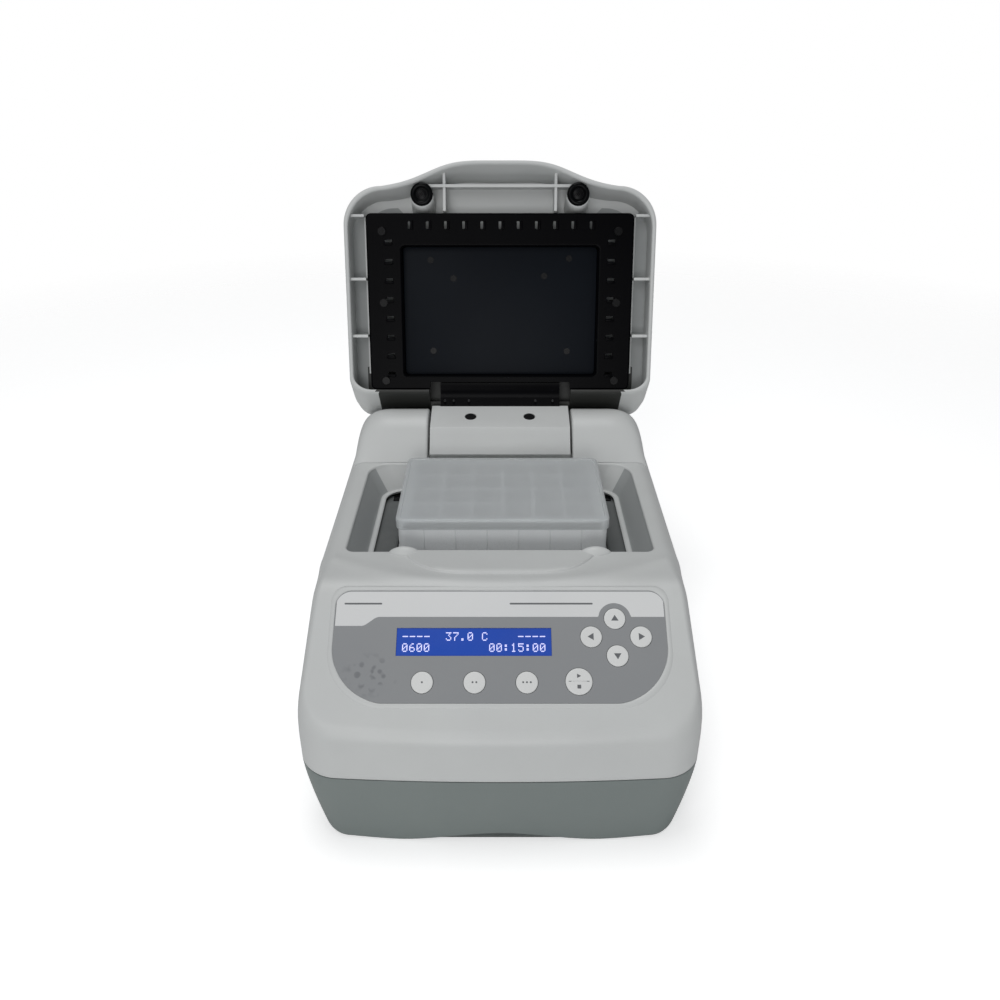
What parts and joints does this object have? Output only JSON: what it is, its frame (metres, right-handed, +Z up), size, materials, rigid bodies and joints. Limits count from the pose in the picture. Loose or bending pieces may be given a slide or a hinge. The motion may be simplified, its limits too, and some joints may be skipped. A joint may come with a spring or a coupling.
{
  "type": "thermal mixer",
  "caption": "Bench thermal mixer: a heated orbital shaking table for a deep-well microplate in a sloped-panel case, with a hinged heated lid shown open.",
  "frame": {"origin": "middle of the whole object's footprint on the bench, lid open", "axes": "+X to the user's right, +Y to the back, +Z up"},
  "size_m": [0.206, 0.3209, 0.3001],
  "materials": {
    "case_plastic": "satin light grey ABS, fine grain",
    "base_plastic": "satin grey-green ABS",
    "overlay_film": "printed polyester film",
    "lcd_blue": "gloss blue display window",
    "key_plastic": "satin off-white",
    "circuit_board": "solder mask green",
    "black_plastic": "satin black",
    "cover_black": "semi-gloss black coated sheet",
    "lid_heater": "black anodised",
    "rubber_black": "gloss black rubber",
    "plate_steel": "zinc plated",
    "dark_screw": "black oxide",
    "motor_grey": "satin",
    "brass": "turned",
    "table_alu": "milled",
    "block_alu": "dark anodised",
    "heater_film": "polyimide film",
    "probe_steel": "polished",
    "insulation": "glass wool pad",
    "clear_plastic": "clear polypropylene"
  },
  "bodies": {
    "case": {"base_tub": "base_plastic", "upper_case": "case_plastic", "rubber_feet": "rubber_black", "case_screws": "plate_steel", "control_overlay": "overlay_film", "lcd_window": "lcd_blue", "lcd_module": "circuit_board", "key_board": "circuit_board", "main_board": "circuit_board", "power_supply": "table_alu", "power_inlet": "black_plastic", "switch_housing": "black_plastic", "fan_frame": "black_plastic", "chassis_plate": "plate_steel", "chassis_posts": "plate_steel", "drive_motor": "motor_grey", "crank_bearings": "plate_steel", "idler_bearings": "plate_steel", "hinge_shaft": "plate_steel", "hinge_brackets": "plate_steel", "lid_stops": "rubber_black"},
    "lid": {"lid_shell": "case_plastic", "lid_inner_cover": "cover_black", "lid_heater_plate": "lid_heater", "lid_insulation": "insulation", "lid_bumpers": "rubber_black", "bumper_screws": "dark_screw", "cover_screws": "dark_screw", "hinge_strap": "cover_black", "knuckle_cover": "case_plastic", "knuckle_screws": "dark_screw"},
    "crank": {"crank_shaft": "plate_steel", "crank_counterweight": "brass"},
    "table": {"shake_table": "table_alu", "table_bearings": "plate_steel", "block_insulator": "black_plastic", "heater_film": "heater_film", "heat_block": "block_alu", "temperature_probe": "probe_steel", "block_screws": "dark_screw"},
    "microplate": {"deep_well_plate": "clear_plastic"},
    "microplate_lid": {"plate_lid": "clear_plastic"},
    "rocker": {"switch_rocker": "black_plastic"},
    "fan": {"fan_rotor": "black_plastic"},
    "idler_1": {"idler_crank_1": "plate_steel"},
    "idler_2": {"idler_crank_2": "plate_steel"},
    "idler_3": {"idler_crank_3": "plate_steel"},
    "idler_4": {"idler_crank_4": "plate_steel"},
    "key_up": {"key_up": "key_plastic"},
    "key_down": {"key_down": "key_plastic"},
    "key_left": {"key_left": "key_plastic"},
    "key_right": {"key_right": "key_plastic"},
    "key_function_1": {"key_function_1": "key_plastic"},
    "key_function_2": {"key_function_2": "key_plastic"},
    "key_function_3": {"key_function_3": "key_plastic"},
    "key_start_stop": {"key_start_stop": "key_plastic"}
  },
  "joints": [
    {"name": "lid_hinge", "type": "hinge", "parent": "case", "child": "lid", "pos_m": [0, 0.07755, 0.124], "axis": [-1, 0, 0], "range_deg": [-105, 0]},
    {"name": "crank_spin", "type": "hinge", "parent": "case", "child": "crank", "pos_m": [0, -0.00845, 0.05], "axis": [0, 0, 1], "continuous": true},
    {"name": "table_orbit", "type": "hinge", "parent": "crank", "child": "table", "pos_m": [0.0015, -0.00845, 0.069], "axis": [0, 0, 1], "continuous": true},
    {"name": "idler_spin_1", "type": "hinge", "parent": "case", "child": "idler_1", "pos_m": [-0.058, -0.04245, 0.05], "axis": [0, 0, 1], "continuous": true},
    {"name": "idler_spin_2", "type": "hinge", "parent": "case", "child": "idler_2", "pos_m": [-0.058, 0.02555, 0.05], "axis": [0, 0, 1], "continuous": true},
    {"name": "idler_spin_3", "type": "hinge", "parent": "case", "child": "idler_3", "pos_m": [0.058, -0.04245, 0.05], "axis": [0, 0, 1], "continuous": true},
    {"name": "idler_spin_4", "type": "hinge", "parent": "case", "child": "idler_4", "pos_m": [0.058, 0.02555, 0.05], "axis": [0, 0, 1], "continuous": true},
    {"name": "microplate_lift", "type": "slide", "parent": "table", "child": "microplate", "axis": [0, 0, 1], "range_m": [0, 0.08]},
    {"name": "microplate_lid_lift", "type": "slide", "parent": "microplate", "child": "microplate_lid", "axis": [0, 0, 1], "range_m": [0, 0.02]},
    {"name": "key_up_press", "type": "slide", "parent": "case", "child": "key_up", "axis": [0, 0.5807, -0.8141], "range_m": [0, 0.0006], "stiffness_N_per_m": 1500},
    {"name": "key_down_press", "type": "slide", "parent": "case", "child": "key_down", "axis": [0, 0.5807, -0.8141], "range_m": [0, 0.0006], "stiffness_N_per_m": 1500},
    {"name": "key_left_press", "type": "slide", "parent": "case", "child": "key_left", "axis": [0, 0.5807, -0.8141], "range_m": [0, 0.0006], "stiffness_N_per_m": 1500},
    {"name": "key_right_press", "type": "slide", "parent": "case", "child": "key_right", "axis": [0, 0.5807, -0.8141], "range_m": [0, 0.0006], "stiffness_N_per_m": 1500},
    {"name": "key_function_1_press", "type": "slide", "parent": "case", "child": "key_function_1", "axis": [0, 0.5807, -0.8141], "range_m": [0, 0.0006], "stiffness_N_per_m": 1500},
    {"name": "key_function_2_press", "type": "slide", "parent": "case", "child": "key_function_2", "axis": [0, 0.5807, -0.8141], "range_m": [0, 0.0006], "stiffness_N_per_m": 1500},
    {"name": "key_function_3_press", "type": "slide", "parent": "case", "child": "key_function_3", "axis": [0, 0.5807, -0.8141], "range_m": [0, 0.0006], "stiffness_N_per_m": 1500},
    {"name": "key_start_stop_press", "type": "slide", "parent": "case", "child": "key_start_stop", "axis": [0, 0.5807, -0.8141], "range_m": [0, 0.0006], "stiffness_N_per_m": 1500},
    {"name": "rocker_tilt", "type": "hinge", "parent": "case", "child": "rocker", "pos_m": [0.022, 0.13805, 0.066], "axis": [-1, 0, 0], "range_deg": [0, 18]},
    {"name": "fan_spin", "type": "hinge", "parent": "case", "child": "fan", "pos_m": [-0.048, 0.12155, 0.078], "axis": [0, 1, 0], "continuous": true}
  ],
  "couplings": [
    {"joint": "table_orbit", "follows": "crank_spin", "ratio": -1},
    {"joint": "idler_spin_1", "follows": "crank_spin", "ratio": 1},
    {"joint": "idler_spin_2", "follows": "crank_spin", "ratio": 1},
    {"joint": "idler_spin_3", "follows": "crank_spin", "ratio": 1},
    {"joint": "idler_spin_4", "follows": "crank_spin", "ratio": 1}
  ]
}
